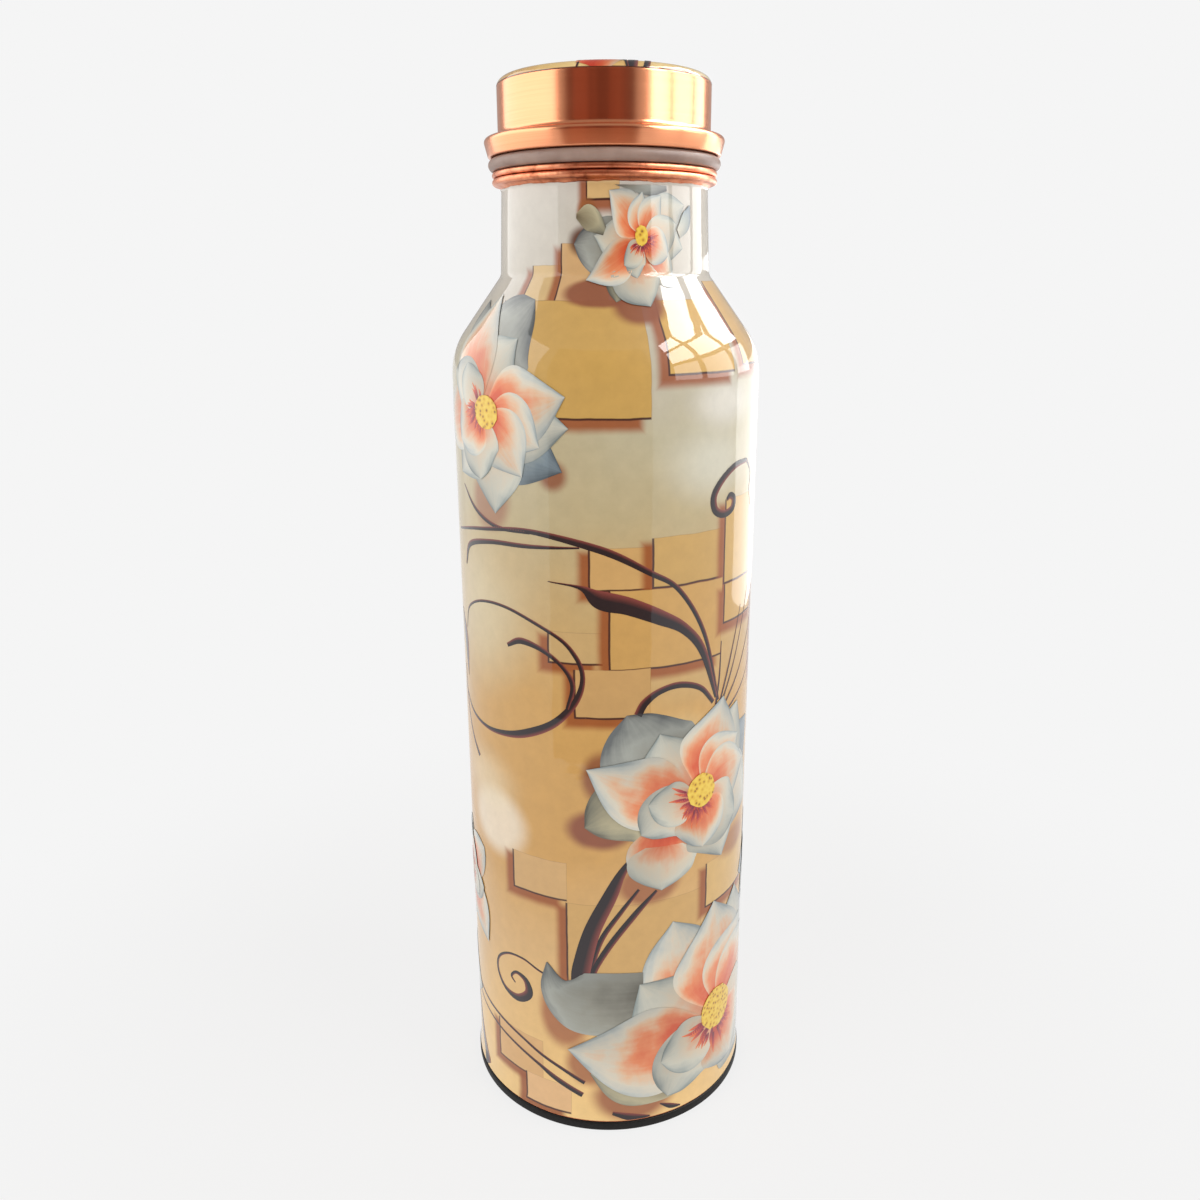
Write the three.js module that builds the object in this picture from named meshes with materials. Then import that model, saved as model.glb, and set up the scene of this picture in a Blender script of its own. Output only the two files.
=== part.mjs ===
// A one-litre copper water bottle with a screw cap. A spun copper shell carries a printed film,
// a threaded collar stands in its neck, and a pressed base plate with a rubber pad closes its
// foot. The cap is a drawn drum, a threaded plug soldered into its flange, a silicone seal and
// a printed disc. Millimetres, +Z up. The origin is the middle of the pad's underside.
import * as THREE from 'three';

// The body, measured over its printed film.
const BODY_DIAMETER = 75;
const BODY_HEIGHT = 192;
const SHOULDER_RADIUS = 17;
const SHOULDER_ANGLE = 36;
const NECK_DIAMETER = 48.5;
const NECK_HEIGHT = 17.4;
const NECK_TAPER = 0.65;
const NECK_FILLET = 3;
const SHELL_WALL = 0.6;
const FOOT_FLARE = 0.4;
const FOOT_FLARE_HEIGHT = 3;

// The neck's flared lip and the collar's rolled rim above it.
const LIP_FILLET = 1.5;
const LIP_LEDGE = 0.03;
const LIP_BEAD = 1.5;
const LIP_CHAMFER = 1.2;
const RIM_BEAD = 1.35;
const RIM_CHAMFER = 0.9;
const COLLAR_WALL = 0.7;
const COLLAR_DEPTH = 14;

// The rolled thread between the collar and the plug: a right-hand wave.
const THREAD_PITCH = 3;
const THREAD_DEPTH = 0.9;
const THREAD_CLEARANCE = 0.35;
const THREAD_RUN_OUT = 1.5;
const THREAD_END_MARGIN = 1.3;

// The base.
const PAD_OVERHANG = 0.6;
const PAD_THICKNESS = 2.5;
const PAD_EDGE_RADIUS = 0.5;
const PLATE_WALL = 0.6;
const PLATE_CORNER = 1.4;
const PLATE_SKIRT = 6;
const PLATE_RIM_WIDTH = 8;
const PLATE_RISE = 1.5;

// The cap.
const SEAL_THICKNESS = 2.9;
const SEAL_OVERHANG = 0.8;
const CAP_WALL = 0.7;
const FLANGE_OVERHANG = 0.8;
const FLANGE_TAPER = 15;
const FLANGE_BEAD_RADIUS = 1;
const FLANGE_FOOT_RADIUS = 0.5;
const FLANGE_HEIGHT = 4.3;
const FLANGE_LEDGE = 0.95;
const DRUM_FILLET = 1.3;
const DRUM_HEIGHT = 10.5;
const DRUM_EDGE_RADIUS = 2;
const PLUG_DEPTH = 14.3;
const PLUG_WALL = 0.7;
const PLUG_CORNER = 1.2;

// The printed film and disc, and the gaps that separate neighbouring pieces.
const FILM = 0.2;
const FILM_GAP = 0.03;
const FILM_EDGE_MARGIN = 0.4;
const FIT = 0.1;

// How finely round shapes are divided: round the axis, along a thread, and along an arc, whose
// chords leave it by at most ARC_ERROR.
const SEGMENTS = 32;
const ROWS_PER_TURN = 6;
const ARC_ERROR = 0.06;

// Radii of the copper shell, which lies just under the film.
const filmDepth = FILM + FILM_GAP;
const shellRadius = BODY_DIAMETER / 2 - filmDepth;
const footRadius = shellRadius + FOOT_FLARE;
const neckRadius = NECK_DIAMETER / 2 - filmDepth;
const neckRootRadius = neckRadius + NECK_TAPER;
const lipRadius = neckRadius + LIP_FILLET + LIP_LEDGE + LIP_BEAD / 2;

// Radii of the collar, the thread and the plug, from the neck's bore inwards.
const neckBore = neckRadius - SHELL_WALL;
const collarRadius = neckBore - FIT;
const grooveRadius = collarRadius - COLLAR_WALL;
const plugRootRadius = grooveRadius - THREAD_DEPTH - THREAD_CLEARANCE;
const plugBore = plugRootRadius - PLUG_WALL;
const sealBore = plugRootRadius + THREAD_DEPTH + FIT;
const sealRadius = lipRadius + SEAL_OVERHANG;
const flangeRadius = sealRadius + FLANGE_OVERHANG;
const drumRadius = flangeRadius - FLANGE_BEAD_RADIUS - FLANGE_LEDGE - DRUM_FILLET;

// Heights, from the floor up.
const slope = THREE.MathUtils.degToRad(SHOULDER_ANGLE);
const wallFoot = PAD_THICKNESS + FIT;
const shoulderStart = wallFoot + BODY_HEIGHT;
const coneTopRadius = neckRootRadius + NECK_FILLET * (1 - Math.cos(slope));
const coneBottomRadius = shellRadius - SHOULDER_RADIUS * (1 - Math.cos(slope));
const coneHeight = (coneBottomRadius - coneTopRadius) / Math.tan(slope);
const shoulderCurves = (SHOULDER_RADIUS + NECK_FILLET) * Math.sin(slope);
const neckStart = shoulderStart + shoulderCurves + coneHeight;
const neckTop = neckStart + NECK_HEIGHT;
const lipUnderside = neckTop + LIP_FILLET;
const lipTop = lipUnderside + LIP_BEAD;
const rimUnderside = lipTop + FIT;
const rimTop = rimUnderside + RIM_BEAD;
const collarFoot = rimTop - COLLAR_DEPTH;
const sealFoot = rimTop + FIT;
const sealTop = sealFoot + SEAL_THICKNESS;
const capFoot = sealTop + FIT;
const flangeTop = capFoot + FLANGE_HEIGHT;
const drumTop = flangeTop + DRUM_HEIGHT + DRUM_EDGE_RADIUS;
const plugFoot = capFoot - PLUG_DEPTH;

// A point of a turned outline: its distance from the axis and its height.
function at(radius, height) {
  return new THREE.Vector2(radius, height);
}

// The points of an arc in an outline, angles in degrees from the outward direction. An offset
// moves the arc parallel to itself and keeps its steps, so that the two stay evenly apart.
function arc(centre, radius, startAngle, endAngle, offset = 0) {
  const widestStep = 2 * THREE.MathUtils.radToDeg(Math.acos(1 - ARC_ERROR / radius));
  const steps = Math.max(1, Math.ceil(Math.abs(endAngle - startAngle) / widestStep));
  const reach = radius + offset;
  const points = [];
  for (let i = 0; i <= steps; i += 1) {
    const angle = THREE.MathUtils.degToRad(startAngle + (endAngle - startAngle) * i / steps);
    points.push(at(centre.x + reach * Math.cos(angle), centre.y + reach * Math.sin(angle)));
  }
  return points;
}

// How high the rolled wave stands above its root at a height and an angle round the axis.
function threadWave(height, angle) {
  const turns = height / THREAD_PITCH - angle / (2 * Math.PI);
  return THREAD_DEPTH * (0.5 + 0.5 * Math.cos(2 * Math.PI * turns));
}

// 1 along a thread, falling to 0 at its two ends.
function runOut(height, low, high) {
  const fromEnd = Math.min(height - low, high - height);
  return THREE.MathUtils.smoothstep(fromEnd, 0, THREAD_RUN_OUT);
}

// Outline points of a threaded stretch, evenly spaced from start to end.
function threadRows(radius, start, end) {
  const count = Math.ceil(Math.abs(end - start) * ROWS_PER_TURN / THREAD_PITCH);
  const rows = [];
  for (let i = 0; i <= count; i += 1) {
    rows.push(at(radius, start + (end - start) * i / count));
  }
  return rows;
}

// A solid turned about the Z axis. The rows of a thread take their radius from radiusAt.
function turned(outline, rows = [], radiusAt = null) {
  const geometry = new THREE.LatheGeometry(outline, SEGMENTS);
  const position = geometry.getAttribute('position');
  for (let i = 0; i <= SEGMENTS; i += 1) {
    const angle = (i % SEGMENTS) * 2 * Math.PI / SEGMENTS;
    for (const row of rows) {
      const radius = radiusAt(row.y, angle);
      const index = i * outline.length + outline.indexOf(row);
      position.setXYZ(index, radius * Math.sin(angle), row.y, radius * Math.cos(angle));
    }
  }
  geometry.rotateX(Math.PI / 2);
  geometry.computeVertexNormals();
  return geometry;
}

function piece(name, geometry, color, roughness, metalness) {
  const material = new THREE.MeshStandardMaterial({ color, roughness, metalness });
  const mesh = new THREE.Mesh(geometry, material);
  mesh.name = name;
  return mesh;
}

// The body's wall from its foot to the top of the neck, moved outwards by an offset.
function wallOutline(offset) {
  const shoulderCentre = at(shellRadius - SHOULDER_RADIUS, shoulderStart);
  const filletCentre = at(neckRootRadius + NECK_FILLET, neckStart);
  return [
    at(footRadius + offset, wallFoot),
    at(shellRadius + offset, wallFoot + FOOT_FLARE_HEIGHT),
    ...arc(shoulderCentre, SHOULDER_RADIUS, 0, SHOULDER_ANGLE, offset),
    ...arc(filletCentre, NECK_FILLET, 180 + SHOULDER_ANGLE, 180, -offset),
    at(neckRadius + offset, neckTop),
  ];
}

// Copper shell: open at both ends, with a solid bead round its flared lip.
function bottleShell() {
  const lipFilletCentre = at(neckRadius + LIP_FILLET, neckTop);
  const beadCentre = at(lipRadius - LIP_BEAD / 2, lipUnderside + LIP_BEAD / 2);
  const outside = wallOutline(0);
  const inside = wallOutline(-SHELL_WALL);
  inside.reverse();
  const outline = [
    ...outside,
    ...arc(lipFilletCentre, LIP_FILLET, 180, 90).slice(1),
    ...arc(beadCentre, LIP_BEAD / 2, -90, 90),
    at(neckBore + LIP_CHAMFER, lipTop),
    at(neckBore, lipTop - LIP_CHAMFER),
    ...inside,
    outside[0],
  ];
  return piece('bottle_shell', turned(outline), 0xb87350, 0.35, 1);
}

// Printed film over the whole wall, lying just clear of the copper.
function printSleeve() {
  const outside = wallOutline(filmDepth);
  const inside = wallOutline(FILM_GAP);
  outside[0].y += FILM_EDGE_MARGIN;
  inside[0].y += FILM_EDGE_MARGIN;
  inside.reverse();
  const outline = [...outside, ...inside, outside[0]];
  return piece('print_sleeve', turned(outline), 0xd8bf93, 0.2, 0);
}

// Threaded collar: stands in the neck, its rolled rim resting over the lip.
function neckCollar() {
  const threadLow = collarFoot + THREAD_END_MARGIN / 2;
  const threadHigh = rimTop - THREAD_END_MARGIN;
  const rows = threadRows(grooveRadius, threadHigh, threadLow);
  const beadCentre = at(lipRadius - RIM_BEAD / 2, rimUnderside + RIM_BEAD / 2);
  const foot = at(collarRadius, collarFoot);
  const outline = [
    foot,
    at(collarRadius, lipTop - LIP_CHAMFER),
    at(neckBore + LIP_CHAMFER, rimUnderside),
    ...arc(beadCentre, RIM_BEAD / 2, -90, 90),
    at(grooveRadius + RIM_CHAMFER, rimTop),
    at(grooveRadius, rimTop - RIM_CHAMFER),
    ...rows,
    at(grooveRadius, collarFoot),
    foot,
  ];
  const crestRadius = (height, angle) => {
    const hollow = THREAD_DEPTH - threadWave(height, angle);
    return grooveRadius - hollow * runOut(height, threadLow, threadHigh);
  };
  return piece('neck_collar', turned(outline, rows, crestRadius), 0xb87350, 0.4, 1);
}

// Base plate: a pressed cup let into the foot, its middle panel raised off the pad.
function basePlate() {
  const radius = shellRadius - SHELL_WALL - FIT;
  const panelFoot = wallFoot + PLATE_RISE;
  const panelRadius = radius - PLATE_RIM_WIDTH;
  const cornerCentre = at(radius - PLATE_CORNER, wallFoot + PLATE_CORNER);
  const outline = [
    at(0, panelFoot),
    at(panelRadius - PLATE_RISE, panelFoot),
    at(panelRadius, wallFoot),
    ...arc(cornerCentre, PLATE_CORNER, -90, 0),
    at(radius, wallFoot + PLATE_SKIRT),
    at(radius - PLATE_WALL, wallFoot + PLATE_SKIRT),
    ...arc(cornerCentre, PLATE_CORNER, 0, -90, -PLATE_WALL),
    at(panelRadius, wallFoot + PLATE_WALL),
    at(panelRadius - PLATE_RISE, panelFoot + PLATE_WALL),
    at(0, panelFoot + PLATE_WALL),
  ];
  return piece('base_plate', turned(outline), 0xb87350, 0.4, 1);
}

// Rubber pad glued under the base, its edges slightly rounded.
function basePad() {
  const edge = BODY_DIAMETER / 2 + PAD_OVERHANG - PAD_EDGE_RADIUS;
  const outline = [
    at(0, 0),
    ...arc(at(edge, PAD_EDGE_RADIUS), PAD_EDGE_RADIUS, -90, 0),
    ...arc(at(edge, PAD_THICKNESS - PAD_EDGE_RADIUS), PAD_EDGE_RADIUS, 0, 90),
    at(0, PAD_THICKNESS),
  ];
  return piece('base_pad', turned(outline), 0x3a3c3a, 0.85, 0);
}

// Silicone seal: a flat ring round the plug with a rounded outer edge.
function capSeal() {
  const round = SEAL_THICKNESS / 2;
  const start = at(sealBore, sealFoot);
  const outline = [
    start,
    ...arc(at(sealRadius - round, sealFoot + round), round, -90, 90),
    at(sealBore, sealTop),
    start,
  ];
  return piece('cap_seal', turned(outline), 0xa08a7c, 0.5, 0);
}

// The flange's tapered side: its direction, and the radius that it would have at the foot.
const taper = THREE.MathUtils.degToRad(FLANGE_TAPER);
const beadCentreRadius = flangeRadius - FLANGE_BEAD_RADIUS;
const beadCentreHeight = flangeTop - FLANGE_BEAD_RADIUS;
const taperTopRadius = beadCentreRadius + FLANGE_BEAD_RADIUS * Math.cos(taper);
const taperTopHeight = beadCentreHeight - FLANGE_BEAD_RADIUS * Math.sin(taper);
const taperFootRadius = taperTopRadius - (taperTopHeight - capFoot) * Math.tan(taper);
const flangeBore = taperFootRadius - CAP_WALL / Math.cos(taper);

// Drawn drum: a downward cup whose lower edge swells into a tapered, beaded flange.
function capDrum() {
  const footCentreHeight = capFoot + FLANGE_FOOT_RADIUS;
  const footRise = footCentreHeight - FLANGE_FOOT_RADIUS * Math.sin(taper) - capFoot;
  const footSideRadius = taperFootRadius + footRise * Math.tan(taper);
  const footCentre = at(footSideRadius - FLANGE_FOOT_RADIUS * Math.cos(taper), footCentreHeight);
  const beadCentre = at(beadCentreRadius, beadCentreHeight);
  const filletCentre = at(drumRadius + DRUM_FILLET, flangeTop + DRUM_FILLET);
  const edgeCentre = at(drumRadius - DRUM_EDGE_RADIUS, drumTop - DRUM_EDGE_RADIUS);
  const foot = at(flangeBore, capFoot);
  const outline = [
    foot,
    ...arc(footCentre, FLANGE_FOOT_RADIUS, -90, -FLANGE_TAPER),
    ...arc(beadCentre, FLANGE_BEAD_RADIUS, -FLANGE_TAPER, 90),
    ...arc(filletCentre, DRUM_FILLET, 270, 180),
    ...arc(edgeCentre, DRUM_EDGE_RADIUS, 0, 90),
    at(0, drumTop),
    at(0, drumTop - CAP_WALL),
    ...arc(edgeCentre, DRUM_EDGE_RADIUS, 90, 0, -CAP_WALL),
    ...arc(filletCentre, DRUM_FILLET, 180, 270, CAP_WALL),
    ...arc(beadCentre, FLANGE_BEAD_RADIUS, 90, -FLANGE_TAPER, -CAP_WALL),
    foot,
  ];
  return piece('cap_drum', turned(outline), 0xc98158, 0.3, 1);
}

// Threaded plug: a cup whose flat flange sits inside the foot of the drum's flange.
function capPlug() {
  const threadLow = plugFoot + THREAD_END_MARGIN;
  const threadHigh = sealFoot - THREAD_END_MARGIN;
  const rows = threadRows(plugRootRadius, threadLow, threadHigh);
  const corner = at(plugRootRadius - PLUG_CORNER, plugFoot + PLUG_CORNER);
  const outline = [
    at(0, plugFoot),
    ...arc(corner, PLUG_CORNER, -90, 0),
    ...rows,
    at(plugRootRadius, capFoot),
    at(flangeBore - FIT, capFoot),
    at(flangeBore - FIT, capFoot + PLUG_WALL),
    at(plugBore, capFoot + PLUG_WALL),
    ...arc(corner, PLUG_CORNER, 0, -90, -PLUG_WALL),
    at(0, plugFoot + PLUG_WALL),
  ];
  const crestRadius = (height, angle) => {
    const wave = threadWave(height, angle);
    return plugRootRadius + wave * runOut(height, threadLow, threadHigh);
  };
  return piece('cap_plug', turned(outline, rows, crestRadius), 0xb87350, 0.4, 1);
}

// Printed disc lying on the drum's flat top.
function capPrintDisc() {
  const foot = drumTop + FILM_GAP;
  const radius = drumRadius - DRUM_EDGE_RADIUS;
  const outline = [at(0, foot), at(radius, foot), at(radius, foot + FILM), at(0, foot + FILM)];
  return piece('cap_print_disc', turned(outline), 0xd8b070, 0.2, 0);
}

const bottle = new THREE.Group();
bottle.add(basePad(), basePlate(), bottleShell(), printSleeve(), neckCollar());

const cap = new THREE.Group();
cap.add(capPlug(), capDrum(), capPrintDisc());

const model = new THREE.Group();
model.add(bottle, capSeal(), cap);

export default model;
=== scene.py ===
import math
import random

import bpy
from mathutils import Matrix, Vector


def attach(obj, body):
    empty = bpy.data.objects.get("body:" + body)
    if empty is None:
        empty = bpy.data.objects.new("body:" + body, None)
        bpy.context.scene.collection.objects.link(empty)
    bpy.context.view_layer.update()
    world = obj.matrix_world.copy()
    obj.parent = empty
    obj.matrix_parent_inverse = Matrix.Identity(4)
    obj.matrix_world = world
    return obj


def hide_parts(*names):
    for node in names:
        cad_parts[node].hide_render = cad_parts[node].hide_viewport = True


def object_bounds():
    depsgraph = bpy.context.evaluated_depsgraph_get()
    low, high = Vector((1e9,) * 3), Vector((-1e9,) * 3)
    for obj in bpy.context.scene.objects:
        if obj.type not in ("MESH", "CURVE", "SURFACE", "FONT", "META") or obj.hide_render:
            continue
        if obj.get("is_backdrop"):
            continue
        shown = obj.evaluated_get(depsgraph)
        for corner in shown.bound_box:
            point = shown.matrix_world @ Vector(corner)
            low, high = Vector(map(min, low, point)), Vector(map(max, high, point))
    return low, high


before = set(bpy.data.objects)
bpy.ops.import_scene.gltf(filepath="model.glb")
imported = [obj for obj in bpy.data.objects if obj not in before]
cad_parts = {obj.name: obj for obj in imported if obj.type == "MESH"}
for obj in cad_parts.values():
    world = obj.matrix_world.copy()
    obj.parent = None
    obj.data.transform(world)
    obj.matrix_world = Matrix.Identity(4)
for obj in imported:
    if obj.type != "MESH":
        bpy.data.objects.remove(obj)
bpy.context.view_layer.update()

# ----------------------------------------------------------------
# Foot pad. A disc of charcoal rubber glued under the bottle, so that it stands without a
# clink. Pressed in a mould: rounded edges, a satin face and two grip rings underneath.
# ----------------------------------------------------------------
MM = 0.001
SPIN_STEPS = 192
CHORD_ERROR = 0.005
WELD_GAP = 0.000001
SHARP_EDGE = 32


def arc(centre, radius, start, end, offset=0.0):
    """Outline points of an arc; angles in degrees from outwards, sizes in millimetres."""
    step = 2 * math.degrees(math.acos(1 - CHORD_ERROR / radius))
    count = max(2, math.ceil(abs(end - start) / step))
    points = []
    for i in range(count + 1):
        angle = math.radians(start + (end - start) * i / count)
        reach = radius + offset
        points.append((centre[0] + reach * math.cos(angle), centre[1] + reach * math.sin(angle)))
    return points


def turned(name, outline):
    """Turns an outline of (radius, height) points in millimetres round Z, as on a lathe."""
    bpy.ops.object.select_all(action="DESELECT")
    bpy.ops.mesh.primitive_plane_add(size=MM)
    piece = bpy.context.object
    piece.name = name
    bpy.ops.object.mode_set(mode="EDIT")
    bpy.ops.mesh.select_all(action="SELECT")
    bpy.ops.mesh.merge(type="CENTER")
    bpy.ops.transform.translate(value=(outline[0][0] * MM, 0, outline[0][1] * MM))
    for here, there in zip(outline, outline[1:]):
        step = ((there[0] - here[0]) * MM, 0, (there[1] - here[1]) * MM)
        bpy.ops.mesh.extrude_vertices_move(TRANSFORM_OT_translate={"value": step})
    bpy.ops.mesh.select_all(action="SELECT")
    bpy.ops.mesh.remove_doubles(threshold=WELD_GAP)
    bpy.ops.mesh.spin(steps=SPIN_STEPS, angle=math.tau, center=(0, 0, 0), axis=(0, 0, 1))
    bpy.ops.mesh.select_all(action="SELECT")
    bpy.ops.mesh.remove_doubles(threshold=WELD_GAP)
    bpy.ops.mesh.normals_make_consistent(inside=False)
    bpy.ops.object.mode_set(mode="OBJECT")
    bpy.ops.object.shade_smooth_by_angle(angle=math.radians(SHARP_EDGE))
    return piece


def srgb(code):
    """A hex colour as the linear values that a shader takes."""
    values = [int(code[i:i + 2], 16) / 255 for i in (1, 3, 5)]
    return [v / 12.92 if v <= 0.04045 else ((v + 0.055) / 1.055) ** 2.4 for v in values] + [1]


def feed(node, inputs):
    """Gives a node's sockets their values, colours or links from other nodes."""
    for socket, value in inputs.items():
        if isinstance(value, bpy.types.Node):
            value = next(output for output in value.outputs if output.enabled)
        if isinstance(value, bpy.types.NodeSocket):
            node.id_data.links.new(value, node.inputs[socket])
        elif isinstance(value, str):
            node.inputs[socket].default_value = srgb(value)
        else:
            node.inputs[socket].default_value = value
    return node


def add_node(tree, kind, inputs, stops=(), **settings):
    """Adds a node with its settings and inputs; stops are a colour ramp's places and colours."""
    node = tree.nodes.new("ShaderNode" + kind)
    for name, value in settings.items():
        setattr(node, name, value)
    for i, (place, code) in enumerate(stops):
        elements = node.color_ramp.elements
        element = elements[i] if i < 2 else elements.new(place)
        element.position = place
        element.color = srgb(code)
    return feed(node, inputs)


def new_material(name):
    """A fresh material, its node tree and its shader."""
    material = bpy.data.materials.new(name)
    material.use_nodes = True
    return material, material.node_tree, material.node_tree.nodes["Principled BSDF"]


def mottle(tree, size, detail, roughness=0.5):
    """Cloudy noise fixed to the piece, its clouds a real size in millimetres."""
    place = add_node(tree, "TexCoord", {})
    return add_node(tree, "TexNoise", {"Vector": place.outputs["Object"],
                                       "Scale": 1 / (size * MM), "Detail": detail,
                                       "Roughness": roughness})


PAD_RADIUS = 38.1
PAD_THICKNESS = 2.5
PAD_EDGE = 0.5
GRIP_RINGS = [(20, 22.5), (30, 32.5)]
GRIP_DEPTH = 0.5
GRIP_SLANT = 0.3

outline = [(0, 0)]
for inner, outer in GRIP_RINGS:
    outline += [(inner, 0), (inner + GRIP_SLANT, GRIP_DEPTH)]
    outline += [(outer - GRIP_SLANT, GRIP_DEPTH), (outer, 0)]
outline += arc((PAD_RADIUS - PAD_EDGE, PAD_EDGE), PAD_EDGE, -90, 0)
outline += arc((PAD_RADIUS - PAD_EDGE, PAD_THICKNESS - PAD_EDGE), PAD_EDGE, 0, 90)
outline += [(0, PAD_THICKNESS)]
pad = turned("base_pad_rubber", outline)

# Moulded rubber: near-black with a broad dull sheen; the mould's spark finish gives it a fine
# grain, drawn at 0.6 mm where the real one is 0.1 mm, so that it shows.
rubber, tree, shader = new_material("moulded rubber, charcoal")
grain = mottle(tree, size=0.6, detail=3)
shade = add_node(tree, "ValToRGB", {0: grain}, stops=[(0.35, "#121110"), (0.7, "#1d1b1a")])
bump = add_node(tree, "Bump", {"Height": grain, "Strength": 0.35, "Distance": 0.05 * MM})
feed(shader, {"Base Color": shade, "Roughness": 0.55, "Specular IOR Level": 0.22,
              "Normal": bump})
pad.data.materials.append(rubber)
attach(pad, "bottle")
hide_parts("base_pad")

# ----------------------------------------------------------------
# Base plate. A shallow cup pressed from copper sheet, let up into the foot of the shell and
# brazed round its skirt. Its middle stands clear of the pad. It closes the bottle.
# ----------------------------------------------------------------
PLATE_RADIUS = 36.57
PLATE_WALL = 0.6
PLATE_CORNER = 1.4
PLATE_FOOT = 2.6
PLATE_PANEL = 28.57
PLATE_RISE = 1.5
PLATE_TOP = 8.6

corner = (PLATE_RADIUS - PLATE_CORNER, PLATE_FOOT + PLATE_CORNER)
outline = [(0, PLATE_FOOT + PLATE_RISE), (PLATE_PANEL - PLATE_RISE, PLATE_FOOT + PLATE_RISE)]
outline += [(PLATE_PANEL, PLATE_FOOT)]
outline += arc(corner, PLATE_CORNER, -90, 0)
outline += [(PLATE_RADIUS, PLATE_TOP), (PLATE_RADIUS - PLATE_WALL, PLATE_TOP)]
outline += arc(corner, PLATE_CORNER, 0, -90, -PLATE_WALL)
outline += [(PLATE_PANEL, PLATE_FOOT + PLATE_WALL)]
outline += [(PLATE_PANEL - PLATE_RISE, PLATE_FOOT + PLATE_RISE + PLATE_WALL)]
outline += [(0, PLATE_FOOT + PLATE_RISE + PLATE_WALL)]
plate = turned("base_plate_pressed", outline)

# Copper left as pressed: a soft pink-brown metal, cloudy with tarnish in 14 mm patches.
pressed_copper, tree, shader = new_material("pressed copper, inside")
cloud = mottle(tree, size=14, detail=5)
tone = add_node(tree, "ValToRGB", {0: cloud}, stops=[(0.3, "#a8603f"), (0.72, "#e08d66")])
dullness = add_node(tree, "MapRange", {"Value": cloud, "To Min": 0.5, "To Max": 0.3})
feed(shader, {"Base Color": tone, "Metallic": 1.0, "Roughness": dullness})
plate.data.materials.append(pressed_copper)
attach(plate, "bottle")
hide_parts("base_plate")

# ----------------------------------------------------------------
# Bottle shell. One copper tube, spun in at the shoulder and up into the neck; its mouth is
# flared and rolled to a solid bead, and its foot flares slightly over the base plate.
# ----------------------------------------------------------------
SHELL_RADIUS = 37.27
SHELL_WALL = 0.6
FOOT_FLARE = 0.4
FOOT_FLARE_TOP = 5.6
SHOULDER_START = 194.6
SHOULDER_ROUND = 17
SHOULDER_SLOPE = 36
NECK_RADIUS = 24.02
NECK_ROOT = 24.67
NECK_FILLET = 3
NECK_START = 218.44
NECK_TOP = 235.84
LIP_FILLET = 1.5
LIP_RADIUS = 26.30
LIP_UNDERSIDE = 237.34
LIP_BEAD = 1.5
MOUTH_CHAMFER = 1.2


def wall(offset):
    """The shell's outside, from foot to neck top, moved outwards by an offset."""
    points = [(SHELL_RADIUS + FOOT_FLARE + offset, PLATE_FOOT)]
    points += [(SHELL_RADIUS + offset, FOOT_FLARE_TOP)]
    shoulder_centre = (SHELL_RADIUS - SHOULDER_ROUND, SHOULDER_START)
    points += arc(shoulder_centre, SHOULDER_ROUND, 0, SHOULDER_SLOPE, offset)
    fillet_centre = (NECK_ROOT + NECK_FILLET, NECK_START)
    points += arc(fillet_centre, NECK_FILLET, 180 + SHOULDER_SLOPE, 180, -offset)
    points += [(NECK_RADIUS + offset, NECK_TOP)]
    return points


lip_centre = (LIP_RADIUS - LIP_BEAD / 2, LIP_UNDERSIDE + LIP_BEAD / 2)
fillet_centre = (NECK_RADIUS + LIP_FILLET, NECK_TOP)
neck_bore = NECK_RADIUS - SHELL_WALL
lip_top = LIP_UNDERSIDE + LIP_BEAD
outline = wall(0)
outline += arc(fillet_centre, LIP_FILLET, 180, 90)[1:]
outline += arc(lip_centre, LIP_BEAD / 2, -90, 90)
outline += [(neck_bore + MOUTH_CHAMFER, lip_top), (neck_bore, lip_top - MOUTH_CHAMFER)]
outline += wall(-SHELL_WALL)[::-1]
outline += outline[:1]
shell = turned("bottle_shell_spun", outline)

# Spun copper, buffed at the lip: warm pink metal with fine turning marks round it, dulled in
# 5 mm patches by handling, and gritty with 1.1 mm specks of lacquer, most of them at the left.
# The marks are drawn at 0.25 mm, coarser than the real ones, so that they show.
TURNING_MARK = 0.25
SPECKS_START = 2
SPECKS_FULL = -12


def split_place(tree, kind="Object"):
    """The X, Y and Z of a point on the piece, or of its UV map."""
    place = add_node(tree, "TexCoord", {})
    return add_node(tree, "SeparateXYZ", {0: place.outputs[kind]})


def circular_marks(tree, spacing):
    """Seamless marks that run round the axis: noise squeezed tight along the outline."""
    place = add_node(tree, "TexCoord", {})
    parts = add_node(tree, "SeparateXYZ", {0: place.outputs["Object"]})
    flat = add_node(tree, "VectorMath", {0: place.outputs["Object"], 1: (1, 1, 0)},
                    operation="MULTIPLY")
    radius = add_node(tree, "VectorMath", {0: flat}, operation="LENGTH").outputs["Value"]
    round_place = add_node(tree, "VectorMath", {0: flat}, operation="NORMALIZE")
    along = add_node(tree, "Math", {0: radius, 1: parts.outputs["Z"]}, operation="ADD")
    along = add_node(tree, "Math", {0: along, 1: 1 / (spacing * MM)}, operation="MULTIPLY")
    lift = add_node(tree, "CombineXYZ", {"Z": along})
    spread = add_node(tree, "VectorMath", {0: round_place, "Scale": 0.9}, operation="SCALE")
    where = add_node(tree, "VectorMath", {0: spread, 1: lift}, operation="ADD")
    return add_node(tree, "TexNoise", {"Vector": where, "Scale": 1.0, "Detail": 3.0,
                                       "Roughness": 0.65})


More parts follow.
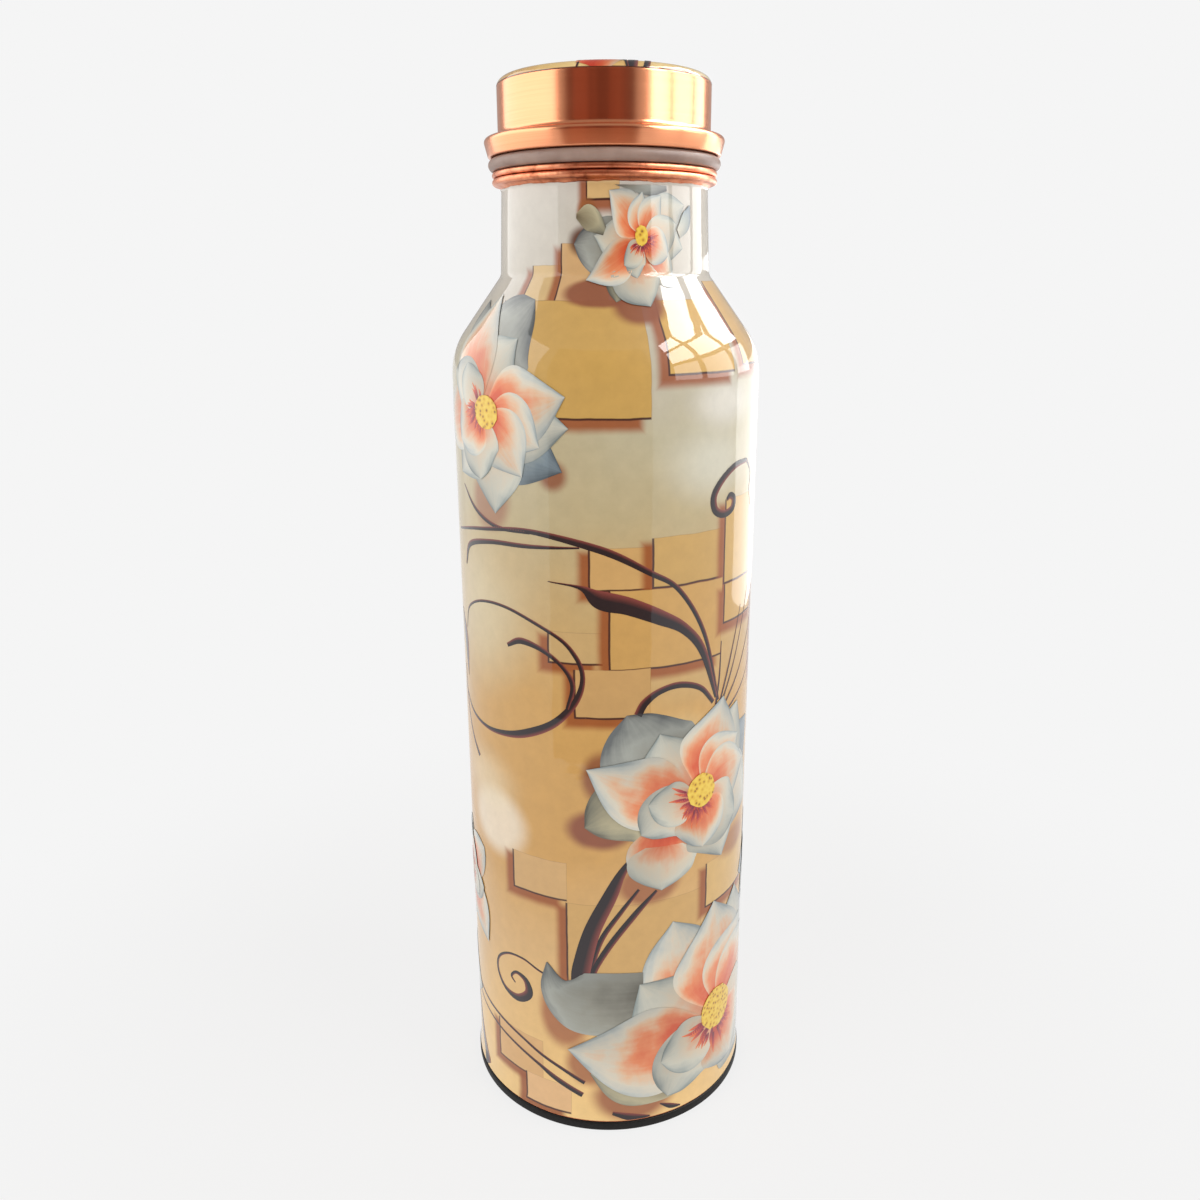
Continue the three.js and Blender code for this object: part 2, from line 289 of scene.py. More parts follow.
lip_copper, tree, shader = new_material("spun copper, buffed")
marks = circular_marks(tree, TURNING_MARK)
patches = mottle(tree, size=5, detail=6, roughness=0.7)
tone = add_node(tree, "ValToRGB", {0: patches},
                stops=[(0.3, "#8f4a30"), (0.48, "#d98a66"), (0.75, "#f0a680")])
dullness = add_node(tree, "MapRange", {"Value": patches, "To Min": 0.55, "To Max": 0.12})
specked = add_node(tree, "MapRange", {"Value": split_place(tree).outputs["X"],
                                      "From Min": SPECKS_START * MM, "From Max": SPECKS_FULL * MM,
                                      "To Min": 0.4, "To Max": 3.0})
grit = mottle(tree, size=1.1, detail=4)
grit = add_node(tree, "Math", {0: grit, 1: specked}, operation="MULTIPLY")
relief = add_node(tree, "Math", {0: marks, 1: grit}, operation="ADD")
bump = add_node(tree, "Bump", {"Height": relief, "Strength": 0.5, "Distance": 0.06 * MM})
feed(shader, {"Base Color": tone, "Metallic": 1.0, "Roughness": dullness, "Normal": bump})
shell.data.materials.append(lip_copper)
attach(shell, "bottle")
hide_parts("bottle_shell")

# ----------------------------------------------------------------
# Neck collar. A short copper tube with a thread rolled into it, soldered into the neck; its
# upper end is rolled out over the lip and carries the seal.
# ----------------------------------------------------------------
COLLAR_RADIUS = 23.32
COLLAR_FOOT = 226.29
GROOVE_RADIUS = 22.62
RIM_UNDERSIDE = 238.94
RIM_TOP = 240.29
RIM_BEAD = 1.35
RIM_CHAMFER = 0.9
THREAD_PITCH = 3
THREAD_DEPTH = 0.9
THREAD_RUN_OUT = 1.5
THREAD_ROWS = 16
SAME_RADIUS = 0.001
COLLAR_THREAD = (226.94, 238.99)


def thread_rows(radius, start, end):
    """Evenly spaced outline points along a threaded stretch."""
    count = math.ceil(abs(end - start) * THREAD_ROWS / THREAD_PITCH)
    return [(radius, start + (end - start) * i / count) for i in range(count + 1)]


def roll_thread(piece, root, low, high, hollow):
    """Rolls a plain stretch of wall, in or out, to a right-hand wave that fades at its ends."""
    for vertex in piece.data.vertices:
        radius = math.hypot(vertex.co.x, vertex.co.y) / MM
        height = vertex.co.z / MM
        if abs(radius - root) > SAME_RADIUS or not low < height < high:
            continue
        turns = height / THREAD_PITCH - math.atan2(vertex.co.x, -vertex.co.y) / math.tau
        wave = THREAD_DEPTH * (0.5 + 0.5 * math.cos(math.tau * turns))
        fade = min(1, min(height - low, high - height) / THREAD_RUN_OUT)
        fade = fade * fade * (3 - 2 * fade)
        shift = (wave - THREAD_DEPTH) * fade if hollow else wave * fade
        vertex.co.x *= (radius + shift) / radius
        vertex.co.y *= (radius + shift) / radius
    bpy.ops.object.shade_smooth_by_angle(angle=math.radians(SHARP_EDGE))


outline = [(COLLAR_RADIUS, COLLAR_FOOT), (COLLAR_RADIUS, lip_top - MOUTH_CHAMFER)]
outline += [(neck_bore + MOUTH_CHAMFER, RIM_UNDERSIDE)]
outline += arc((LIP_RADIUS - RIM_BEAD / 2, RIM_UNDERSIDE + RIM_BEAD / 2), RIM_BEAD / 2, -90, 90)
outline += [(GROOVE_RADIUS + RIM_CHAMFER, RIM_TOP), (GROOVE_RADIUS, RIM_TOP - RIM_CHAMFER)]
outline += thread_rows(GROOVE_RADIUS, COLLAR_THREAD[1], COLLAR_THREAD[0])
outline += [(GROOVE_RADIUS, COLLAR_FOOT)]
outline += outline[:1]
collar = turned("neck_collar_threaded", outline)
roll_thread(collar, GROOVE_RADIUS, *COLLAR_THREAD, hollow=True)
collar.data.materials.append(lip_copper)
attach(collar, "bottle")
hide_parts("neck_collar")

# ----------------------------------------------------------------
# Print sleeve. A paper-thin printed film wrapped round the whole wall and flooded with clear
# lacquer, which pulls it up over the lip's flare, where it ends in a rough edge.
# ----------------------------------------------------------------
FILM = 0.2
FILM_GAP = 0.03
FILM_FOOT = 3.0
FILM_REACH = 42
EDGE_MEAN = 0.78
EDGE_WAVES = [(7, 0.1, 1), (23, 0.07, 0), (61, 0.05, 2)]

film_outside = wall(FILM + FILM_GAP)
film_outside[0] = (film_outside[0][0], FILM_FOOT)
film_inside = wall(FILM_GAP)
film_inside[0] = (film_inside[0][0], FILM_FOOT)
edge_outside = arc(fillet_centre, LIP_FILLET, 180, 180 - FILM_REACH, -FILM - FILM_GAP)[1:]
edge_inside = arc(fillet_centre, LIP_FILLET, 180, 180 - FILM_REACH, -FILM_GAP)[1:]
outline = film_outside + edge_outside + edge_inside[::-1] + film_inside[::-1]
outline += outline[:1]
sleeve = turned("print_sleeve_film", outline)

# The rough edge: waves round it, each a count, a share of the film's reach and a start, draw
# the film back down the lip's flare.
for vertex in sleeve.data.vertices:
    radius = math.hypot(vertex.co.x, vertex.co.y) / MM
    height = vertex.co.z / MM
    if height <= NECK_TOP or radius > fillet_centre[0]:
        continue
    turn = math.atan2(vertex.co.x, -vertex.co.y)
    rough = EDGE_MEAN
    for count, share, start in EDGE_WAVES:
        rough += share * math.sin(count * turn + start)
    reach = math.hypot(radius - fillet_centre[0], height - fillet_centre[1])
    angle = math.atan2(height - fillet_centre[1], fillet_centre[0] - radius) * rough
    grow = (fillet_centre[0] - reach * math.cos(angle)) / radius
    vertex.co.x *= grow
    vertex.co.y *= grow
    vertex.co.z = (fillet_centre[1] + reach * math.sin(angle)) * MM

# Where a place on the artwork lies: u runs to the right round the body in millimetres at
# its full radius, z is the height. The artwork goes twice round, once to each half.
BODY_RADIUS = 37.5
HALF_TURN = math.pi * BODY_RADIUS

# Printed film under clear lacquer: watercolour grounds from grey-white down to warm yellow,
# a glassy coat over a dull ink. The lacquer is poured by hand, so it waves by about a tenth
# of a millimetre over 9 mm.
LACQUER_WAVE = 9


def lacquer(tree, shader):
    """The clear coat that lies over every ink."""
    wave = mottle(tree, size=LACQUER_WAVE, detail=1.5)
    bump = add_node(tree, "Bump", {"Height": wave, "Strength": 0.5, "Distance": 0.22 * MM})
    feed(shader, {"Roughness": 0.55, "Specular IOR Level": 0.2, "Coat Weight": 1.0,
                  "Coat Roughness": 0.03, "Coat IOR": 1.5, "Coat Normal": bump})


film_ink, tree, shader = new_material("printed film, lacquered")
place = add_node(tree, "TexCoord", {})
in_mm = add_node(tree, "VectorMath", {0: place.outputs["Object"], "Scale": 1 / MM},
                 operation="SCALE")
parts = add_node(tree, "SeparateXYZ", {0: in_mm})
front = add_node(tree, "Math", {0: parts.outputs["Y"], 1: -1.0}, operation="MULTIPLY")
turn = add_node(tree, "Math", {0: parts.outputs["X"], 1: front}, operation="ARCTAN2")
u = add_node(tree, "Math", {0: turn, 1: BODY_RADIUS}, operation="MULTIPLY")
u = add_node(tree, "Math", {0: u, 1: HALF_TURN / 2, 2: -HALF_TURN / 2}, operation="WRAP")
flat_place = add_node(tree, "CombineXYZ", {"X": u, "Y": parts.outputs["Z"]})
shake = add_node(tree, "TexNoise", {"Vector": in_mm, "Scale": 1 / 6, "Detail": 2.0})
shake = add_node(tree, "VectorMath", {0: shake.outputs["Color"], 1: (0.5, 0.5, 0)},
                 operation="SUBTRACT")
shake = add_node(tree, "VectorMath", {0: shake, 1: (0.5, 0.5, 0)}, operation="MULTIPLY")
art = add_node(tree, "VectorMath", {0: flat_place, 1: shake}, operation="ADD")

wash = add_node(tree, "TexNoise", {"Vector": in_mm, "Scale": 1 / 38, "Detail": 3.0,
                                   "Roughness": 0.45})
drift = add_node(tree, "MapRange", {"Value": wash, "To Min": -26.0, "To Max": 26.0})
level = add_node(tree, "Math", {0: parts.outputs["Z"], 1: drift}, operation="ADD")
level = add_node(tree, "Math", {0: level, 1: 250.0}, operation="DIVIDE")
ground = add_node(tree, "ValToRGB", {0: level}, stops=[
    (0.0, "#f6cd88"), (0.07, "#efc480"), (0.2, "#dcb278"), (0.34, "#d1a05a"),
    (0.48, "#d0a15c"), (0.57, "#caa870"), (0.66, "#bfad84"), (0.76, "#bfb494"),
    (0.86, "#c6bdad"), (1.0, "#d6cfc4")])


def paint_blooms(tree, ground, art, blooms):
    """Lays soft oval blooms of colour over the ground, and returns the new ground."""
    for middle_u, middle_z, half_u, half_z, softness, code, strength in blooms:
        away = add_node(tree, "VectorMath", {0: art, 1: (middle_u, middle_z, 0)},
                        operation="SUBTRACT")
        away = add_node(tree, "VectorMath", {0: away, 1: (half_u, half_z, 1)},
                        operation="DIVIDE")
        reach = add_node(tree, "VectorMath", {0: away}, operation="LENGTH")
        amount = add_node(tree, "MapRange", {"Value": reach.outputs["Value"],
                                             "From Min": 1 - softness, "From Max": 1.0,
                                             "To Min": strength, "To Max": 0.0},
                          interpolation_type="SMOOTHSTEP")
        ground = add_node(tree, "Mix", {0: amount, 6: ground, 7: code}, data_type="RGBA")
    return ground


# Pale water marks lie under the tiles: each one's middle, half width, half height, softness,
# colour and strength.
WATER_MARKS = [
    (-32, 85, 13.5, 11.5, 0.5, "#f2e2ca", 0.85), (-36, 95, 16, 12, 0.9, "#ecd9b4", 0.6),
    (27, 177, 19, 13, 0.9, "#dad6c4", 0.8), (-35, 140, 22, 26, 0.9, "#dcd0ae", 0.6),
    (30, 190, 14, 8, 0.8, "#ebe6dc", 0.7), (18, 110, 12, 10, 0.8, "#ecd49c", 0.5),
]
ground = paint_blooms(tree, ground, art, WATER_MARKS)

# Square tiles that overlap like roof slates: left, foot, right, head and colour. Each is
# painted as a soft brown shadow, a dark edge at its left and foot, and its own flat colour.
TILES = [
    (-5.8, 233.2, 5, 241, "#e0b87c"), (-26, 212, -15, 219.5, "#dcba80"),
    (-14.5, 212, 1, 224, "#d9ae78"), (-33, 187.8, 10, 212, "#d0a558"),
    (14.5, 196.9, 33.6, 212, "#dcae5a"), (38, 198, 58, 216, "#dcb068"),
    (-3.6, 149.4, 10, 159, "#d5a868"), (11, 149.6, 30.5, 161, "#cfa55e"),
    (31.6, 147.6, 48, 167.5, "#d6ac62"), (-13.6, 131.6, -1, 139, "#cfab72"),
    (0.9, 130.2, 30.8, 149, "#d2a35c"), (32, 137.6, 49, 147, "#d6a95f"),
    (-7.3, 118.2, 10.3, 130, "#cfa367"), (-25.6, 68.8, -10.3, 79, "#d9ae74"),
    (-10.2, 45, 26, 67.9, "#d6aa68"), (27.8, 61.6, 50, 74, "#dfb672"),
    (-34, 12.6, -18, 24.5, "#e4b478"), (-23.3, 4.4, -10, 12.8, "#eebf88"),
    (50.5, 120, 58.5, 150, "#d2a862"), (-58.5, 130, -50, 152, "#cfae72"),
]
SHADOW_SHIFT = 1.6
SHADOW_SOFT = 1.2
EDGE_WIDTH = 0.5
CRISP = 0.14
for left, foot, right, head, code in TILES:
    coats = [(-SHADOW_SHIFT - SHADOW_SOFT, -SHADOW_SHIFT - SHADOW_SOFT, -SHADOW_SHIFT * 1.2,
              -1.0, SHADOW_SOFT, "#9a4c18", 0.92),
             (-EDGE_WIDTH, -EDGE_WIDTH, 0.0, 0.0, CRISP, "#3c1912", 0.95),
             (0.0, 0.0, 0.0, 0.0, CRISP, code, 0.94)]
    for to_left, to_foot, to_right, to_head, softness, colour, strength in coats:
        low = (left + to_left, foot + to_foot)
        high = (right + to_right, head + to_head)
        middle = ((low[0] + high[0]) / 2, (low[1] + high[1]) / 2, 0)
        half = ((high[0] - low[0]) / 2, (high[1] - low[1]) / 2, 0)
        away = add_node(tree, "VectorMath", {0: art, 1: middle}, operation="SUBTRACT")
        away = add_node(tree, "VectorMath", {0: away}, operation="ABSOLUTE")
        away = add_node(tree, "VectorMath", {0: away, 1: half}, operation="SUBTRACT")
        away = add_node(tree, "SeparateXYZ", {0: away})
        reach = add_node(tree, "Math", {0: away.outputs["X"], 1: away.outputs["Y"]},
                         operation="MAXIMUM")
        amount = add_node(tree, "MapRange", {"Value": reach, "From Min": -softness,
                                             "From Max": softness, "To Min": strength,
                                             "To Max": 0.0},
                          interpolation_type="SMOOTHSTEP")
        ground = add_node(tree, "Mix", {0: amount, 6: ground, 7: colour}, data_type="RGBA")

# Soft brown shadows lie over the tiles, under each flower, given in the same way.
FLOWER_SHADOWS = [
    (-6.5, 224.3, 7, 4.2, 0.5, "#5e3420", 0.95), (-6, 230.6, 4.2, 3.4, 0.5, "#9a5c2e", 0.85),
    (-1, 213.6, 13.5, 3.6, 0.3, "#8d4b2c", 0.95), (9.5, 211, 9, 5, 0.4, "#8d4b2c", 0.95),
    (-30, 168, 8, 9, 0.45, "#a06a4c", 0.8), (-12, 175, 4.5, 4.5, 0.6, "#8a4322", 0.85),
    (-1.5, 88.8, 10.5, 6.6, 0.4, "#8c4a32", 0.95), (-1, 102.5, 6.6, 8.4, 0.45, "#8e5030", 0.9),
    (10.5, 73, 10, 6.8, 0.4, "#a0603c", 0.9), (40, 76, 11, 5.5, 0.6, "#a5683c", 0.8),
    (-11.5, 35, 8.4, 12.5, 0.4, "#a9653d", 0.9), (-4.5, 20.5, 8.4, 8.5, 0.45, "#a9653d", 0.9),
    (7, 10, 13.5, 9, 0.4, "#a05c38", 0.92),
]
ground = paint_blooms(tree, ground, art, FLOWER_SHADOWS)

fibre = add_node(tree, "TexNoise", {"Vector": in_mm, "Scale": 1 / 3.5, "Detail": 6.0,
                                    "Roughness": 0.6})
fibre = add_node(tree, "MapRange", {"Value": fibre, "From Min": 0.3, "From Max": 0.7,
                                    "To Min": 0.94, "To Max": 1.03})
ground = add_node(tree, "Mix", {0: 1.0, 6: ground, 7: fibre}, data_type="RGBA",
                  blend_type="MULTIPLY")
feed(shader, {"Base Color": ground})
lacquer(tree, shader)
sleeve.data.materials.append(film_ink)
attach(sleeve, "bottle")
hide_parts("print_sleeve")

# ----------------------------------------------------------------
# Printed motifs on the film: lotus flowers with leaves, ink scrolls and loose stems, printed
# once on each half of the body. Each petal, leaf and scroll is its own patch of ink under the
# lacquer, a hundredth of a millimetre thick, printed a fiftieth above the one below it.
# ----------------------------------------------------------------
PATCH_STEP = 0.7
PATH_SPARE = 1.1
HAIRLINE = 0.02
INK_LIFT = 0.03
INK_STEP = 0.018
INK_DEPTH = 0.008
LEAF_LIFT = 0.05
DOME_ROWS = 10
wall_rows = [(height, radius) for radius, height in film_outside]


def on_wall(u, z, lift):
    """The place of an artwork point on the film, lifted off it; in metres."""
    z = min(max(z, wall_rows[0][0]), wall_rows[-1][0] - 0.001)
    row = next(i for i in range(len(wall_rows) - 1) if wall_rows[i + 1][0] > z)
    (low, radius_low), (high, radius_high) = wall_rows[row], wall_rows[row + 1]
    radius = radius_low + (radius_high - radius_low) * (z - low) / (high - low)
    lean = math.atan2(radius_low - radius_high, high - low)
    radius += lift * math.cos(lean)
    turn = u / BODY_RADIUS
    height = z + lift * math.sin(lean)
    return radius * math.sin(turn) * MM, -radius * math.cos(turn) * MM, height * MM


def flow(values, share):
    """A smooth value a share of the way along a list, through every value in it."""
    spot = share * (len(values) - 1)
    i = min(int(spot), len(values) - 2)
    f = spot - i
    b, c = values[i], values[i + 1]
    a = values[i - 1] if i else 2 * b - c
    d = values[i + 2] if i + 2 < len(values) else 2 * c - b
    return b + 0.5 * f * (c - a + f * (2 * a - 5 * b + 4 * c - d + f * (3 * (b - c) + d - a)))


def patch(path, widths, lift, ink, surface=on_wall):
    """A patch of ink along a path of artwork points, widths being its half widths in mm."""
    path_u = [point[0] for point in path]
    path_z = [point[1] for point in path]
    length = sum(math.dist(a, b) for a, b in zip(path, path[1:]))
    rows = max(8, math.ceil(length * PATH_SPARE / PATCH_STEP))
    columns = max(2, 2 * math.ceil(max(widths) / PATCH_STEP))
    bpy.ops.mesh.primitive_grid_add(x_subdivisions=rows, y_subdivisions=columns, size=1)
    piece = bpy.context.object
    for vertex in piece.data.vertices:
        s = min(max(vertex.co.x + 0.5, 0), 1)
        t = vertex.co.y * 2
        here = flow(path_u, s), flow(path_z, s)
        low, high = max(s - 0.01, 0), min(s + 0.01, 1)
        ahead = flow(path_u, high) - flow(path_u, low), flow(path_z, high) - flow(path_z, low)
        span = math.hypot(*ahead) or 1
        width = max(flow(widths, s), HAIRLINE) * t
        u = here[0] - ahead[1] / span * width
        z = here[1] + ahead[0] / span * width
        vertex.co = surface(u, z, lift)
    piece.data.materials.append(ink)
    return piece


def round_widths(radius):
    """The half widths along a path that make a patch an oval."""
    half = DOME_ROWS / 2
    return [radius * math.sqrt(max(0, 1 - (i / half - 1) ** 2)) for i in range(DOME_ROWS + 1)]


def join_patches(name, patches):
    """Makes one named piece of a motif's patches."""
    bpy.ops.object.select_all(action="DESELECT")
    for piece in patches:
        piece.select_set(True)
    bpy.context.view_layer.objects.active = patches[-1]
    bpy.ops.object.join()
    piece = bpy.context.object
    piece.name = name
    bpy.ops.object.modifier_add(type="SOLIDIFY")
    piece.modifiers[0].thickness = INK_DEPTH * MM
    bpy.ops.object.modifier_apply(modifier=piece.modifiers[0].name)
    bpy.ops.object.shade_smooth_by_angle(angle=math.radians(SHARP_EDGE))
    return piece


# Petal and leaf inks: a heart that fades along veins to a cool rim, shaded towards one side.
# Each patch's own UV map runs from its base to its tip and from side to side.
def petal_ink(name, stops, heart, rim, side):
    """Heart is how far the base colour reaches, rim how the edge counts, side the shading."""
    ink, tree, shader = new_material(name)
    place = add_node(tree, "TexCoord", {})
    parts = add_node(tree, "SeparateXYZ", {0: place.outputs["UV"]})
    across = add_node(tree, "MapRange", {"Value": parts.outputs["Y"], "To Min": -1.0})
    edge = add_node(tree, "Math", {0: across, 1: across}, operation="MULTIPLY")
    edge = add_node(tree, "Math", {0: edge, 1: rim}, operation="MULTIPLY")
    bloom = mottle(tree, size=7, detail=3)
    stretch = add_node(tree, "VectorMath", {0: place.outputs["UV"], 1: (1.2, 13, 0)},
                       operation="MULTIPLY")
    veins = add_node(tree, "TexNoise", {"Vector": stretch, "Scale": 1.0, "Detail": 2.0})
    grow = add_node(tree, "MapRange", {"Value": parts.outputs["X"], "From Max": heart,
                                       "To Max": 0.75}, clamp=False)
    total = add_node(tree, "Math", {0: grow, 1: edge}, operation="ADD")
    wander = add_node(tree, "MapRange", {"Value": bloom, "From Min": 0.3, "From Max": 0.7,
                                         "To Min": -0.1, "To Max": 0.1})
    total = add_node(tree, "Math", {0: total, 1: wander}, operation="ADD")
    thread = add_node(tree, "MapRange", {"Value": veins, "From Min": 0.3, "From Max": 0.7,
                                         "To Min": -0.04, "To Max": 0.04})
    total = add_node(tree, "Math", {0: total, 1: thread}, operation="ADD")
    colour = add_node(tree, "ValToRGB", {0: total}, stops=stops)
    shade = add_node(tree, "MapRange", {"Value": across, "From Min": -1.0,
                                        "To Min": 1 - side, "To Max": 1.04},
                     interpolation_type="SMOOTHSTEP")
    colour = add_node(tree, "Mix", {0: 1.0, 6: colour, 7: shade}, data_type="RGBA",
                      blend_type="MULTIPLY")
    feed(shader, {"Base Color": colour})
    lacquer(tree, shader)
    return ink


coral_petal = petal_ink("petal ink, coral to white", [
    (0.0, "#c83616"), (0.2, "#de5a2e"), (0.38, "#ea8c5c"), (0.52, "#e6be9a"),
    (0.64, "#dad0bc"), (0.82, "#c2c4bc"), (1.0, "#97a0a0")], 1.0, 0.4, 0.2)
pale_petal = petal_ink("petal ink, grey-white", [
    (0.0, "#dc7448"), (0.22, "#e2a47e"), (0.4, "#dac8ae"), (0.62, "#cdcaba"),
    (0.82, "#b2b5ac"), (1.0, "#88928f")], 1.0, 0.4, 0.25)
blue_petal = petal_ink("petal ink, slate blue", [
    (0.0, "#cfc9b6"), (0.4, "#a5aca4"), (0.7, "#7c8b93"), (1.0, "#4c5a62")], 0.85, 0.25, 0.3)
grey_leaf = petal_ink("leaf ink, grey", [
    (0.0, "#6a665a"), (0.35, "#979588"), (0.65, "#a7a9a0"), (1.0, "#606464")], 0.85, 0.3, 0.3)
olive_leaf = petal_ink("leaf ink, olive", [
    (0.0, "#6c5f45"), (0.3, "#9b8f70"), (0.6, "#b8ae8d"), (0.85, "#928e78"),
    (1.0, "#6a6658")], 0.85, 0.3, 0.35)

# Scroll ink: near-black plum with a maroon light along one side.
scroll_ink, tree, shader = new_material("scroll ink, plum black")
tone = add_node(tree, "ValToRGB", {0: split_place(tree, "UV").outputs["Y"]}, stops=[
    (0.0, "#1d1016"), (0.55, "#1f1017"), (0.76, "#5e2824"), (1.0, "#8a4038")])
feed(shader, {"Base Color": tone})
lacquer(tree, shader)

# Pollen ink: egg-yolk yellow, scattered with brown seed dots about 1.15 mm apart.
SEED_GAP = 1.15
pollen_ink, tree, shader = new_material("pollen ink, yellow")
place = add_node(tree, "TexCoord", {})
dots = add_node(tree, "TexVoronoi", {"Vector": place.outputs["Object"],
                                     "Scale": 1 / (SEED_GAP * MM)})
tone = add_node(tree, "ValToRGB", {0: dots.outputs["Distance"]}, stops=[
    (0.12, "#8f5f14"), (0.3, "#d9a524"), (0.45, "#eabf38"), (0.75, "#f3cf4c")])
feed(shader, {"Base Color": tone})
lacquer(tree, shader)

# Stamen ink: crimson hairs that lighten to orange at their tips.
stamen_ink, tree, shader = new_material("stamen ink, crimson")
tone = add_node(tree, "ValToRGB", {0: split_place(tree, "UV").outputs["X"]}, stops=[
    (0.1, "#7a1430"), (0.5, "#b83a3a"), (0.9, "#e8753c")])
feed(shader, {"Base Color": tone})
lacquer(tree, shader)

# The shape of a petal from base to tip, and of a broad cupped one, as shares of its half width.
PETAL_SHAPE = [0.12, 0.45, 0.75, 0.93, 1.0, 0.98, 0.88, 0.71, 0.49, 0.25, 0.0]
CUP_SHAPE = [0.2, 0.55, 0.8, 0.95, 1.03, 1.06, 1.06, 1.03, 0.97, 0.88, 0.76, 0.6, 0.38, 0.0]

# One lotus: each petal's direction in degrees, how far its base and tip lie from the heart,
# its half width, its sideways bend, its shape and its ink, from the back to the front.
LOTUS = [
    (128, 4, 27, 11, 3, CUP_SHAPE, "grey"), (190, 5, 26, 8, -4, CUP_SHAPE, "olive"),
    (28, 2, 25, 9.5, -2, PETAL_SHAPE, "blue"), (-22, 2, 25, 10, 2, PETAL_SHAPE, "pale"),
    (-64, 2, 20, 9, 2, PETAL_SHAPE, "pale"), (-108, 4, 22, 7.5, 1, CUP_SHAPE, "coral"),
    (52, 2, 23, 9, -2, PETAL_SHAPE, "pale"), (120, 2, 19, 9, 2, PETAL_SHAPE, "pale"),
    (70, 2, 22.5, 9.5, -1, PETAL_SHAPE, "coral"), (34, 2, 18, 8, 1, PETAL_SHAPE, "coral"),
    (8, 1, 19, 8, 1, PETAL_SHAPE, "coral"), (160, 2, 26.7, 8.5, 2, PETAL_SHAPE, "coral"),
    (206, 2, 15, 6, -2, CUP_SHAPE, "pale"), (-34, 1, 17, 7.5, -2, CUP_SHAPE, "pale"),
    (-82, 1, 13, 7, 1, CUP_SHAPE, "coral"), (178, 1, 12, 5, 1, CUP_SHAPE, "pale"),
]
INKS = {"grey": grey_leaf, "olive": olive_leaf, "blue": blue_petal, "pale": pale_petal,
        "coral": coral_petal}
STAMEN_RING = (150, 330)
STAMEN_COUNT = 34
HEART_RADIUS = 4.0
HEART_SHIFT = 1.6
HEART_WAY = 40


def lotus(name, heart, size, turn, stretch=1.0, leave_out=()):
    """A flower on the wall: where its heart is, its size, turn, u stretch and absent petals."""
    flower = []
    draw = random.Random(name)

    def spot(direction, away, aside=0.0):
        angle = math.radians(direction + turn)
        right = away * math.cos(angle) - aside * math.sin(angle)
        up = away * math.sin(angle) + aside * math.cos(angle)
        return heart[0] + right * size * stretch, heart[1] + up * size

    for i, (direction, base, tip, half, bend, shape, kind) in enumerate(LOTUS):
        if i in leave_out:
            continue
        path = [spot(direction, base), spot(direction, (base + tip) / 2, bend * 0.7),
                spot(direction, tip)]
        widths = [share * half * size for share in shape]
        flower.append(patch(path, widths, INK_LIFT + INK_STEP * i, INKS[kind]))
    top = INK_LIFT + INK_STEP * len(LOTUS)
    for i in range(STAMEN_COUNT):
        direction = draw.uniform(*STAMEN_RING)
        near = draw.uniform(1.5, 3.5)
        far = near + draw.uniform(2, 4.5)
        path = [spot(direction, near), spot(direction, (near + far) / 2, draw.uniform(-0.4, 0.4)),
                spot(direction, far)]
        flower.append(patch(path, [0.22 * size, 0.34 * size, 0.1], top, stamen_ink))
    dome = [spot(HEART_WAY, away + HEART_SHIFT) for away in (-HEART_RADIUS, 0, HEART_RADIUS)]
    flower.append(patch(dome, round_widths(HEART_RADIUS * size), top + INK_STEP, pollen_ink))
    return join_patches(name, flower)


motifs = [
    lotus("print_flower_neck", (12.4, 224.6), 0.55, 55, stretch=1.53, leave_out=(2, 6)),
    lotus("print_flower_shoulder", (-31.5, 188.5), 0.95, -60, stretch=1.08, leave_out=(1,)),
    lotus("print_flower_body", (23.6, 94.4), 1.14, 0, leave_out=(5,)),
    lotus("print_flower_foot", (32, 25.8), 1.6, 22, leave_out=(0, 1, 5)),
    lotus("print_flower_side", (-52, 62), 0.8, 150, leave_out=(0, 1)),
]

